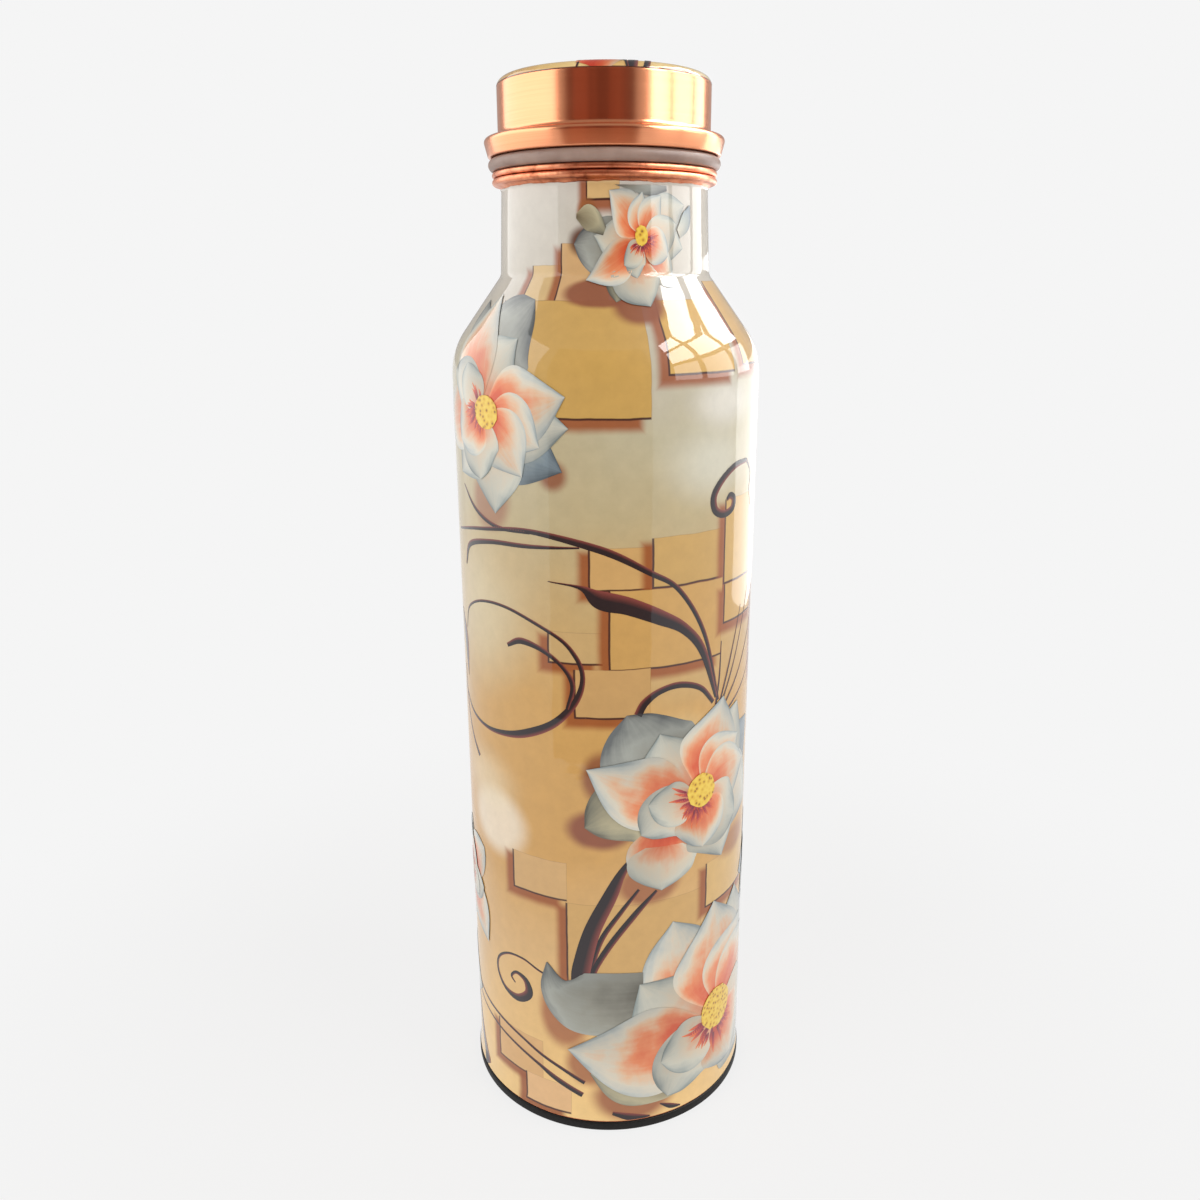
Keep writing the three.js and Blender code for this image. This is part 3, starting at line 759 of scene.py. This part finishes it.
# Scrolls and stems, each a path of artwork points and its half widths.
SCROLLS = [
    ([(-48, 158), (-34, 160.5), (-18, 162), (-1.5, 158.7), (10, 153), (17.5, 148), (25, 136),
      (30.4, 118)], [0.3, 0.45, 0.6, 0.9, 0.7, 0.6, 0.6, 0.4]),
    ([(-43, 150), (-40, 155.5), (-30, 158), (-18, 158.5), (-6, 159)],
     [0.3, 0.7, 0.6, 0.5, 0.2]),
    ([(-42, 170), (-36, 165), (-28, 162), (-18, 161.6)], [0.2, 0.5, 0.5, 0.3]),
    ([(-13.6, 150.8), (-6, 149.8), (-1.4, 147), (5, 145.4), (12.5, 142.2), (19, 138.5),
      (24.5, 132), (29.5, 119)], [0.1, 0.5, 2.2, 2.1, 1.8, 1.3, 1.1, 0.5]),
    ([(-45, 133), (-42.5, 139), (-34.3, 142.6), (-24, 142.6), (-12.3, 138), (-7.4, 133.4),
      (-5.6, 128), (-7.4, 121.9), (-12.7, 116), (-20, 112.2), (-27, 110.3), (-35, 109.8),
      (-43, 111.5), (-49, 116)],
     [0.2, 0.3, 0.35, 0.4, 0.45, 0.55, 0.6, 0.8, 1.0, 1.1, 0.8, 0.5, 0.4, 0.3]),
    ([(-25.4, 133.6), (-21.2, 135.4), (-15.4, 134), (-10.4, 130.4), (-8, 125.8), (-9.4, 120)],
     [0.5, 0.8, 0.6, 0.5, 0.6, 0.4]),
    ([(-49, 122), (-47.5, 112), (-44, 105), (-39.4, 100)], [0.2, 0.3, 0.4, 0.6]),
    ([(7.3, 118.5), (9, 121.5), (12.7, 124), (18, 124.8), (24, 122.8), (28.5, 118)],
     [1.0, 1.0, 0.8, 0.8, 0.7, 0.6]),
    ([(29.5, 117), (30.6, 124), (31, 133)], [0.4, 0.3, 0.15]),
    ([(31, 117), (35, 127), (40, 140)], [0.35, 0.3, 0.12]),
    ([(32, 117), (38, 128), (45, 144)], [0.35, 0.25, 0.1]),
    ([(33, 116), (40, 123), (49, 134)], [0.35, 0.25, 0.1]),
    ([(34, 114), (42, 118), (51, 124)], [0.35, 0.25, 0.1]),
    ([(41, 175.5), (35, 175), (30, 172.5), (27, 169), (27.5, 165.6), (30.5, 164.2),
      (33.8, 165), (34.6, 167.2), (33, 168.2), (31.6, 167.4)],
     [0.5, 0.8, 0.9, 1.0, 1.0, 0.9, 0.9, 0.9, 0.8, 0.4]),
    ([(41, 175.5), (44, 172), (43.5, 168), (45, 164)], [0.4, 0.25, 0.2, 0.12]),
    ([(7, 82), (3.4, 76.8), (0.6, 70.6), (-4, 60.4), (-6.7, 49.8), (-7.2, 45)],
     [0.5, 1.1, 1.8, 2.1, 2.4, 2.4]),
    ([(7.8, 72), (3.5, 66.3), (-1.4, 58.7), (-4.1, 50.4), (-4.8, 45)],
     [0.4, 0.6, 0.7, 0.7, 0.6]),
    ([(12.4, 71), (7.3, 65.6), (1.2, 57.6), (-3.2, 49.8), (-4.2, 45)],
     [0.4, 0.8, 0.85, 0.8, 0.7]),
    ([(-14.6, 45), (-18.5, 46), (-23.5, 47.7), (-29, 47), (-33.2, 43.8), (-33.8, 39.6),
      (-31, 35.8), (-26, 34.8), (-22.1, 37.6), (-22.8, 41.3), (-26, 42.5), (-28, 40.6),
      (-26.6, 39.1)],
     [0.25, 0.3, 0.3, 0.35, 0.4, 0.45, 0.6, 1.1, 1.3, 0.9, 0.5, 0.4, 0.2]),
    ([(-56, 31), (-47.2, 27.3), (-33.4, 25), (-25, 23), (-18.3, 20.2), (-12.4, 17.7),
      (-6.3, 14.5)], [0.4, 0.4, 0.4, 0.4, 0.45, 0.5, 0.6]),
    ([(-56, 27), (-45, 23.6), (-34.6, 21.4), (-26.7, 19.5), (-19.7, 17), (-14.8, 14.4),
      (-6.9, 10.5)], [0.3, 0.3, 0.35, 0.4, 0.5, 0.8, 0.8]),
    ([(-52, 22), (-46, 9), (-42, 3.4)], [0.8, 1.6, 1.8]),
    ([(1, 5.2), (6, 3.8), (11, 3.3)], [0.5, 1.0, 0.2]),
    ([(14, 6), (17, 4.4), (20, 3.5)], [0.2, 0.7, 0.2]),
    ([(-50, 137), (-46.5, 130), (-45.5, 120)], [0.2, 1.7, 0.2]),
]
motifs.append(join_patches("print_scrolls", [
    patch(path, widths, INK_LIFT + INK_STEP * (i % 2), scroll_ink)
    for i, (path, widths) in enumerate(SCROLLS)]))

# Loose petals and leaves that lie apart from a flower: path, half widths and ink.
LOOSE = [
    ([(14.6, 87), (14.4, 79.5), (13.9, 72)], [6, 8.8, 9.8, 9.8, 8.6, 5.4, 0], "coral"),
    ([(14.4, 83), (14, 77), (13.7, 70.8)], [5, 8.2, 9.3, 9.2, 8, 4.8, 0], "pale"),
    ([(29, 30), (21, 45), (17, 61)], [3, 8, 11.5, 12.5, 11, 7, 0], "coral"),
    ([(9, 39), (0, 39), (-8.5, 39.3), (-14, 42.6), (-16.1, 49.4)],
     [9, 9.4, 9.4, 8.8, 6.3, 3.1, 0.2], "grey"),
    ([(26, 14), (13, 12.5), (3, 12.8), (-4.6, 17.6)], [3.5, 5.3, 5.4, 4.8, 2.6, 0.3], "olive"),
    ([(-31, 199), (-36, 204), (-41, 208), (-43, 212)], [2.0, 4.6, 3.4, 0.2], "grey"),
    ([(3.4, 236), (9, 235.8), (15, 235.4), (22, 235.6)], [0.2, 0.8, 1.5, 1.6, 0.9], "grey"),
    ([(-9.4, 229.6), (-4.5, 229), (0, 226.4)], [0.5, 2.6, 2.4, 1], "olive"),
    ([(11.4, 220), (11, 216), (12.6, 210.6)], [4, 8, 9, 8, 5, 0], "pale"),
    ([(27, 226), (31, 229), (33, 232)], [1.2, 2.2, 0.3], "blue"),
]
motifs.append(join_patches("print_loose_leaves", [
    patch(path, widths, LEAF_LIFT + INK_STEP * i, INKS[kind])
    for i, (path, widths, kind) in enumerate(LOOSE)]))

for motif in motifs:
    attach(motif, "bottle")
    bpy.ops.object.select_all(action="DESELECT")
    motif.select_set(True)
    bpy.context.view_layer.objects.active = motif
    bpy.ops.object.duplicate()
    back = bpy.context.object
    back.name = motif.name + "_back"
    bpy.ops.object.mode_set(mode="EDIT")
    bpy.ops.mesh.select_all(action="SELECT")
    bpy.ops.transform.rotate(value=math.pi, orient_axis="Z", center_override=(0, 0, 0))
    bpy.ops.object.mode_set(mode="OBJECT")
    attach(back, "bottle")

# ----------------------------------------------------------------
# Seal. A ring of translucent silicone rubber between the rim and the cap, moulded with a
# full-round outer edge; it rises with the cap but does not turn.
# ----------------------------------------------------------------
SEAL_BORE = 22.37
SEAL_RADIUS = 27.10
SEAL_FOOT = 240.39
SEAL_TOP = 243.29

seal_round = (SEAL_TOP - SEAL_FOOT) / 2
outline = [(SEAL_BORE, SEAL_FOOT)]
outline += arc((SEAL_RADIUS - seal_round, SEAL_FOOT + seal_round), seal_round, -90, 90)
outline += [(SEAL_BORE, SEAL_TOP), (SEAL_BORE, SEAL_FOOT)]
seal = turned("cap_seal_silicone", outline)

# Silicone: milky grey-brown, waxy and slightly see-through, so its shadows are soft.
silicone, tree, shader = new_material("silicone rubber, translucent")
cloud = mottle(tree, size=6, detail=3)
tone = add_node(tree, "ValToRGB", {0: cloud}, stops=[(0.35, "#8d7367"), (0.7, "#a3897c")])
feed(shader, {"Base Color": tone, "Roughness": 0.42, "IOR": 1.41, "Subsurface Weight": 0.35,
              "Subsurface Radius": (1.2 * MM, 0.8 * MM, 0.6 * MM), "Subsurface Scale": 1.0})
seal.data.materials.append(silicone)
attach(seal, "seal")
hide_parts("cap_seal")

# ----------------------------------------------------------------
# Plug. A copper cup with a rolled outside thread, its flange soldered inside the foot of the
# drum. It screws four turns into the collar.
# ----------------------------------------------------------------
PLUG_ROOT = 21.37
PLUG_BORE = 20.67
PLUG_FOOT = 229.09
PLUG_CORNER = 1.2
PLUG_WALL = 0.7
CAP_FOOT = 243.39
FLANGE_BORE = 26.29
SOLDER_GAP = 0.1
PLUG_THREAD = (230.39, 239.09)

corner = (PLUG_ROOT - PLUG_CORNER, PLUG_FOOT + PLUG_CORNER)
outline = [(0, PLUG_FOOT)]
outline += arc(corner, PLUG_CORNER, -90, 0)
outline += thread_rows(PLUG_ROOT, *PLUG_THREAD)
outline += [(PLUG_ROOT, CAP_FOOT), (FLANGE_BORE - SOLDER_GAP, CAP_FOOT)]
outline += [(FLANGE_BORE - SOLDER_GAP, CAP_FOOT + PLUG_WALL), (PLUG_BORE, CAP_FOOT + PLUG_WALL)]
outline += arc(corner, PLUG_CORNER, 0, -90, -PLUG_WALL)
outline += [(0, PLUG_FOOT + PLUG_WALL)]
plug = turned("cap_plug_threaded", outline)
roll_thread(plug, PLUG_ROOT, *PLUG_THREAD, hollow=False)
plug.data.materials.append(lip_copper)
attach(plug, "cap")
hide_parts("cap_plug")

# ----------------------------------------------------------------
# Cap drum. A cup drawn from copper sheet, its open edge swelled into a tapered flange with a
# round bead that gives the fingers a grip. Brushed round its side on a lathe.
# ----------------------------------------------------------------
CAP_WALL = 0.7
DRUM_RADIUS = 24.65
DRUM_TOP = 260.19
DRUM_EDGE = 2
DRUM_FILLET = 1.3
FLANGE_TOP = 247.69
FLANGE_TAPER = 15
FLANGE_RADIUS = 27.90
FLANGE_BEAD = 1
FLANGE_FOOT = 0.5

taper = math.radians(FLANGE_TAPER)
bead_centre = (FLANGE_RADIUS - FLANGE_BEAD, FLANGE_TOP - FLANGE_BEAD)
side_radius = bead_centre[0] + FLANGE_BEAD * math.cos(taper)
side_height = bead_centre[1] - FLANGE_BEAD * math.sin(taper)
foot_radius = side_radius - (side_height - CAP_FOOT) * math.tan(taper)
flange_bore = foot_radius - CAP_WALL / math.cos(taper)
foot_height = CAP_FOOT + FLANGE_FOOT
foot_rise = foot_height - FLANGE_FOOT * math.sin(taper) - CAP_FOOT
foot_side = foot_radius + foot_rise * math.tan(taper)
foot_centre = (foot_side - FLANGE_FOOT * math.cos(taper), foot_height)
drum_fillet = (DRUM_RADIUS + DRUM_FILLET, FLANGE_TOP + DRUM_FILLET)
drum_edge = (DRUM_RADIUS - DRUM_EDGE, DRUM_TOP - DRUM_EDGE)
outline = [(flange_bore, CAP_FOOT)]
outline += arc(foot_centre, FLANGE_FOOT, -90, -FLANGE_TAPER)
outline += arc(bead_centre, FLANGE_BEAD, -FLANGE_TAPER, 90)
outline += arc(drum_fillet, DRUM_FILLET, 270, 180)
outline += arc(drum_edge, DRUM_EDGE, 0, 90)
outline += [(0, DRUM_TOP), (0, DRUM_TOP - CAP_WALL)]
outline += arc(drum_edge, DRUM_EDGE, 90, 0, -CAP_WALL)
outline += arc(drum_fillet, DRUM_FILLET, 180, 270, CAP_WALL)
outline += arc(bead_centre, FLANGE_BEAD, 90, -FLANGE_TAPER, -CAP_WALL)
outline += outline[:1]
drum = turned("cap_drum_brushed", outline)

# Brushed copper: peach metal whose circular scratches stretch each reflection upright. The
# scratches are drawn at 0.12 mm, where the real ones are half that.
SCRATCH = 0.12
brushed_copper, tree, shader = new_material("brushed copper, circular")
scratches = circular_marks(tree, SCRATCH)
tone = add_node(tree, "ValToRGB", {0: scratches}, stops=[(0.3, "#e6966c"), (0.7, "#eea077")])
dullness = add_node(tree, "MapRange", {"Value": scratches, "To Min": 0.21, "To Max": 0.29})
grain = add_node(tree, "Tangent", {}, direction_type="RADIAL", axis="Z")
bump = add_node(tree, "Bump", {"Height": scratches, "Strength": 0.12, "Distance": 0.01 * MM})
feed(shader, {"Base Color": tone, "Metallic": 1.0, "Roughness": dullness, "Normal": bump,
              "Anisotropic": 0.7, "Anisotropic Rotation": 0.25, "Tangent": grain})
drum.data.materials.append(brushed_copper)
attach(drum, "cap")
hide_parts("cap_drum")

# ----------------------------------------------------------------
# Cap print. A disc of the same printed film on the drum's top, drawn down over its rounded
# edge and lacquered; a lotus and scrolls cross it.
# ----------------------------------------------------------------
DISC_FOLD = 14
DISC_FILM = 0.06
DISC_LIFT = 0.02
DISC_STEP = 0.012
DISC_HEART = 3.4
EDGE_SHADE_BAND = (258.85, 258.95)

outer = arc(drum_edge, DRUM_EDGE, 90, DISC_FOLD, DISC_FILM + FILM_GAP)
inner = arc(drum_edge, DRUM_EDGE, DISC_FOLD, 90, FILM_GAP)
disc_outline = [(0, outer[0][1])] + outer
disc = turned("cap_print_disc_film", disc_outline + inner + [(0, inner[-1][1])])

# The same lacquered film: tan and straw-yellow watercolour, with a thin band of painted shade at
# its foot, where the film's edge meets the copper.
disc_ink, tree, shader = new_material("printed film, cap top")
wash = mottle(tree, size=14, detail=3)
tone = add_node(tree, "ValToRGB", {0: wash}, stops=[
    (0.3, "#c9964e"), (0.45, "#dfb870"), (0.58, "#e8c988"), (0.72, "#f0dcae")])
# Painted shade: a thin dark band along the film's foot.
edge = add_node(tree, "MapRange", {"Value": split_place(tree).outputs["Z"],
                                   "From Min": EDGE_SHADE_BAND[0] * MM, "From Max": EDGE_SHADE_BAND[1] * MM,
                                   "To Min": 1.0, "To Max": 0.0})
tone = add_node(tree, "Mix", {0: edge, 6: tone, 7: "#6e3d22"}, data_type="RGBA")
feed(shader, {"Base Color": tone})
lacquer(tree, shader)
disc.data.materials.append(disc_ink)
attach(disc, "cap")
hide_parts("cap_print_disc")


def on_disc(x, y, lift):
    """A place on the disc, seen from above; the distance from its middle is along the film."""
    away = math.hypot(x, y)
    turn = math.atan2(y, x)
    flat = drum_edge[0]
    bend = DRUM_EDGE + DISC_FILM + FILM_GAP + lift
    angle = max(0.0, min(away - flat, math.radians(88 - DISC_FOLD) * DRUM_EDGE)) / DRUM_EDGE
    radius = min(away, flat) + bend * math.sin(angle)
    height = drum_edge[1] + bend * math.cos(angle)
    return radius * math.cos(turn) * MM, radius * math.sin(turn) * MM, height * MM


# The disc's lotus, from the back petal to the front, then its scrolls and its heart.
DISC_PETALS = [
    ([(4, 6), (12, 12), (20, 15)], [0.8, 5.5, 0.2], "grey"),
    ([(-2, 4), (-12, 8), (-21, 8)], [0.8, 6, 0.2], "blue"),
    ([(0, 2), (2, 12), (-1, 22)], [1, 5.5, 0.2], "pale"),
    ([(1, 0), (11, 0), (21, -3)], [1, 5.5, 0.2], "pale"),
    ([(-1, 1), (-11, -2), (-20, -8)], [1, 5.5, 0.2], "coral"),
    ([(0, 1), (9, 7), (16, 13)], [1, 4.5, 0.2], "coral"),
    ([(0, 0), (-5, 9), (-10, 16)], [1, 4.8, 0.2], "coral"),
    ([(-3, -25), (1.5, -17), (1, -2)], [3.4, 4.6, 1], "coral"),
]
disc_motif = [patch(path, widths, DISC_LIFT + DISC_STEP * i, INKS[kind], on_disc)
              for i, (path, widths, kind) in enumerate(DISC_PETALS)]
DISC_SCROLLS = [
    ([(8, -12), (6.5, -18), (6, -24.8)], [0.5, 0.9, 1.1]),
    ([(11, -11), (9.6, -17), (9, -24.8)], [0.3, 0.6, 0.7]),
    ([(-6, -25), (-3, -19), (3, -19.5), (5, -24.8)], [0.2, 0.4, 0.5, 0.3]),
]
top = DISC_LIFT + DISC_STEP * len(DISC_PETALS)
disc_motif += [patch(path, widths, top, scroll_ink, on_disc) for path, widths in DISC_SCROLLS]
heart = [(-3, -1), (0, 0.5), (3, 2)]
disc_motif.append(patch(heart, round_widths(DISC_HEART), top + DISC_STEP, pollen_ink, on_disc))
disc_print = join_patches("cap_print_motif", disc_motif)
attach(disc_print, "cap")

# ----------------------------------------------------------------
# The studio. A pale table that fades into a pale wall of light, a tall sheet on the left that
# glows with painted light, and a window of soft panes on the right whose bars show in the lacquer.
# ----------------------------------------------------------------
BACKDROP = "#f5f5f5"
TABLE_SIZE = 60
TABLE_FADE = (0.09, 0.26)

bpy.ops.object.select_all(action="DESELECT")
bpy.ops.mesh.primitive_plane_add(size=TABLE_SIZE)
table = bpy.context.object
table.name = "table"
paper, tree, shader = new_material("matt white paper")
place = add_node(tree, "TexCoord", {})
away = add_node(tree, "VectorMath", {0: place.outputs["Object"]}, operation="LENGTH")
blend = add_node(tree, "MapRange", {"Value": away.outputs["Value"], "From Min": TABLE_FADE[0],
                                    "From Max": TABLE_FADE[1], "To Min": 0.88},
                 interpolation_type="SMOOTHSTEP")
glow = add_node(tree, "Emission", {"Color": BACKDROP, "Strength": 1.0})
feed(shader, {"Base Color": "#f4f2f0", "Roughness": 0.9, "Specular IOR Level": 0.1})
mixed = add_node(tree, "MixShader", {0: blend, 1: shader, 2: glow})
feed(tree.nodes["Material Output"], {"Surface": mixed})
table.data.materials.append(paper)
table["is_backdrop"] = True

world = bpy.data.worlds.new("studio air")
bpy.context.scene.world = world
world.use_nodes = True
tree = world.node_tree
tree.nodes.clear()
seen = add_node(tree, "LightPath", {})
room = add_node(tree, "Background", {"Color": "#d8d6d4", "Strength": 0.66})
backdrop = add_node(tree, "Background", {"Color": BACKDROP, "Strength": 1.0})
mixed = add_node(tree, "MixShader", {0: seen.outputs["Is Camera Ray"], 1: room, 2: backdrop})
add_node(tree, "OutputWorld", {"Surface": mixed})


def soft_light(name, middle, aim, size, power, glossy=True, diffuse=True):
    """An area light that the camera does not see."""
    bpy.ops.object.light_add(type="AREA", location=middle)
    light = bpy.context.object
    light.name = name
    light.data.shape = "RECTANGLE"
    light.data.size, light.data.size_y = size
    light.data.energy = power
    way = [a - b for a, b in zip(aim, middle)]
    flat = math.hypot(way[0], way[1])
    light.rotation_euler = (math.atan2(flat, -way[2]), 0, math.atan2(way[1], way[0]) - math.pi / 2)
    light.visible_camera = False
    light.visible_glossy = glossy
    light.visible_diffuse = diffuse
    return light


# A tall white sheet at the left, seen only in reflections, whose light is a painted glow:
# brighter at the top as if lit from above, so that it fades down to the table.
PANEL_SIZE = (0.52, 0.46)
PANEL_AWAY = 0.27
PANEL_FADE = (0.02, 0.36)
PANEL_GLOW = (0.9, 2.6)
bpy.ops.object.select_all(action="DESELECT")
bpy.ops.mesh.primitive_plane_add(size=1, location=(-PANEL_AWAY, 0, PANEL_SIZE[0] / 2),
                                 rotation=(0, math.pi / 2, 0))
panel = bpy.context.object
panel.name = "left_panel"
panel.scale = (PANEL_SIZE[0], PANEL_SIZE[1], 1)
bpy.ops.object.transform_apply()
sheet, tree, shader = new_material("white sheet, painted glow")
strength = add_node(tree, "MapRange", {"Value": split_place(tree).outputs["Z"],
                                       "From Min": PANEL_FADE[0], "From Max": PANEL_FADE[1],
                                       "To Min": PANEL_GLOW[0], "To Max": PANEL_GLOW[1]},
                    interpolation_type="SMOOTHSTEP")
# Painted light: the sheet is no lamp, yet it glows, more strongly towards its top.
glow = add_node(tree, "Emission", {"Color": "#ffffff", "Strength": strength})
feed(tree.nodes["Material Output"], {"Surface": glow})
panel.data.materials.append(sheet)
panel.visible_camera = False
panel.visible_diffuse = False
panel.visible_shadow = False
panel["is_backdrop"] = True

# A low card at the back right edges the body with light. The window has three panes to a row,
# its rows given from the lowest up; each glow is in watts to a square metre.
CARD = (0.48, 0.24)
CARD_GLOW = 6.0
PANE = (0.31, 0.255)
PANE_STEP = (0.37, 0.31)
WINDOW_CORNER = (0.62, -0.36, 0.32)
WINDOW_GLOW = [12, 32, 44]
soft_light("right_card", (0.35, 0.36, 0.12), (0, 0, 0.12), CARD,
           CARD_GLOW * CARD[0] * CARD[1], diffuse=False)
for column in range(3):
    for row in range(len(WINDOW_GLOW)):
        back = WINDOW_CORNER[1] + PANE_STEP[0] * column
        up = WINDOW_CORNER[2] + PANE_STEP[1] * row
        soft_light(f"window_pane_{column}{row}", (WINDOW_CORNER[0], back, up), (0, back, up), PANE,
                   WINDOW_GLOW[row] * PANE[0] * PANE[1], diffuse=False)
soft_light("right_fill", (1.1, -0.5, 0.9), (0, 0, 0.1), (0.9, 0.9), 8.6, glossy=False)
soft_light("left_fill", (-1.0, -0.7, 0.8), (0, 0, 0.1), (0.9, 0.9), 6.6, glossy=False)

# A dark cloth hangs behind the camera, round a fifth of a circle: painted shade that stands for
# the dark room there, so that the copper has something dark to mirror. Only the mirror images see
# it.
CLOTH_RADIUS = 0.31
CLOTH_HEIGHT = 0.5
CLOTH_SIDES = (-40, 33)
bpy.ops.object.select_all(action="DESELECT")
bpy.ops.mesh.primitive_cylinder_add(vertices=180, radius=CLOTH_RADIUS, depth=CLOTH_HEIGHT,
                                    end_fill_type="NOTHING", location=(0, 0, CLOTH_HEIGHT / 2))
cloth = bpy.context.object
cloth.name = "dark_cloth"
bpy.ops.object.mode_set(mode="EDIT")
bpy.ops.mesh.select_all(action="DESELECT")
bpy.ops.object.mode_set(mode="OBJECT")
for face in cloth.data.polygons:
    side = math.degrees(math.atan2(face.center.x, -face.center.y))
    face.select = not CLOTH_SIDES[0] < side < CLOTH_SIDES[1]
bpy.ops.object.mode_set(mode="EDIT")
bpy.ops.mesh.delete(type="FACE")
bpy.ops.object.mode_set(mode="OBJECT")
drape, tree, shader = new_material("dark brown cloth, painted shade and light")
place = add_node(tree, "TexCoord", {})
# Painted shade and light: dark and light brown streaks stand for folds that the smooth sheet does
# not have.
painted_fold_shade = add_node(tree, "VectorMath", {0: place.outputs["Object"], 1: (28, 9, 0)},
                 operation="MULTIPLY")
painted_fold_shade = add_node(tree, "TexNoise", {"Vector": painted_fold_shade, "Scale": 1.0, "Detail": 2.0})
tone = add_node(tree, "ValToRGB", {0: painted_fold_shade}, stops=[(0.35, "#5c2f26"), (0.65, "#b0705e")])
# Painted light: the cloth's lower part is painted pale peach, lighter towards the table.
painted_foot_light = add_node(tree, "MapRange", {"Value": split_place(tree).outputs["Z"],
                                      "From Min": -0.14, "From Max": 0.02,
                                      "To Min": 0.55, "To Max": 0.0})
tone = add_node(tree, "Mix", {0: painted_foot_light, 6: tone, 7: "#e8c0a8"}, data_type="RGBA")
feed(shader, {"Base Color": tone, "Roughness": 1.0, "Specular IOR Level": 0.0})
cloth.data.materials.append(drape)
cloth.visible_camera = False
cloth.visible_diffuse = False
cloth.visible_shadow = False
cloth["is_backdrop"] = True

# The camera stands close, level with the foot of the neck, and looks down.
CAMERA_PLACE = (0, -0.2665, 0.2159)
CAMERA_TILT = 16.735
CAMERA_ROLL = -0.372
CAMERA_YAW = -0.361
CAMERA_LENS = 31.73
bpy.ops.object.camera_add(location=CAMERA_PLACE)
camera = bpy.context.object
camera.name = "camera"
camera.data.lens = CAMERA_LENS
camera.data.sensor_width = 36
camera.data.clip_start = 0.01
camera.data.clip_end = 100
camera.rotation_mode = "QUATERNION"
aimed = Matrix.Rotation(math.radians(-CAMERA_YAW), 3, "Z")
aimed = aimed @ Matrix.Rotation(math.radians(90 - CAMERA_TILT), 3, "X")
aimed = aimed @ Matrix.Rotation(math.radians(CAMERA_ROLL), 3, "Z")
camera.rotation_quaternion = aimed.to_quaternion()
bpy.context.scene.camera = camera
bpy.context.scene.view_settings.view_transform = "Standard"

low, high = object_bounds()
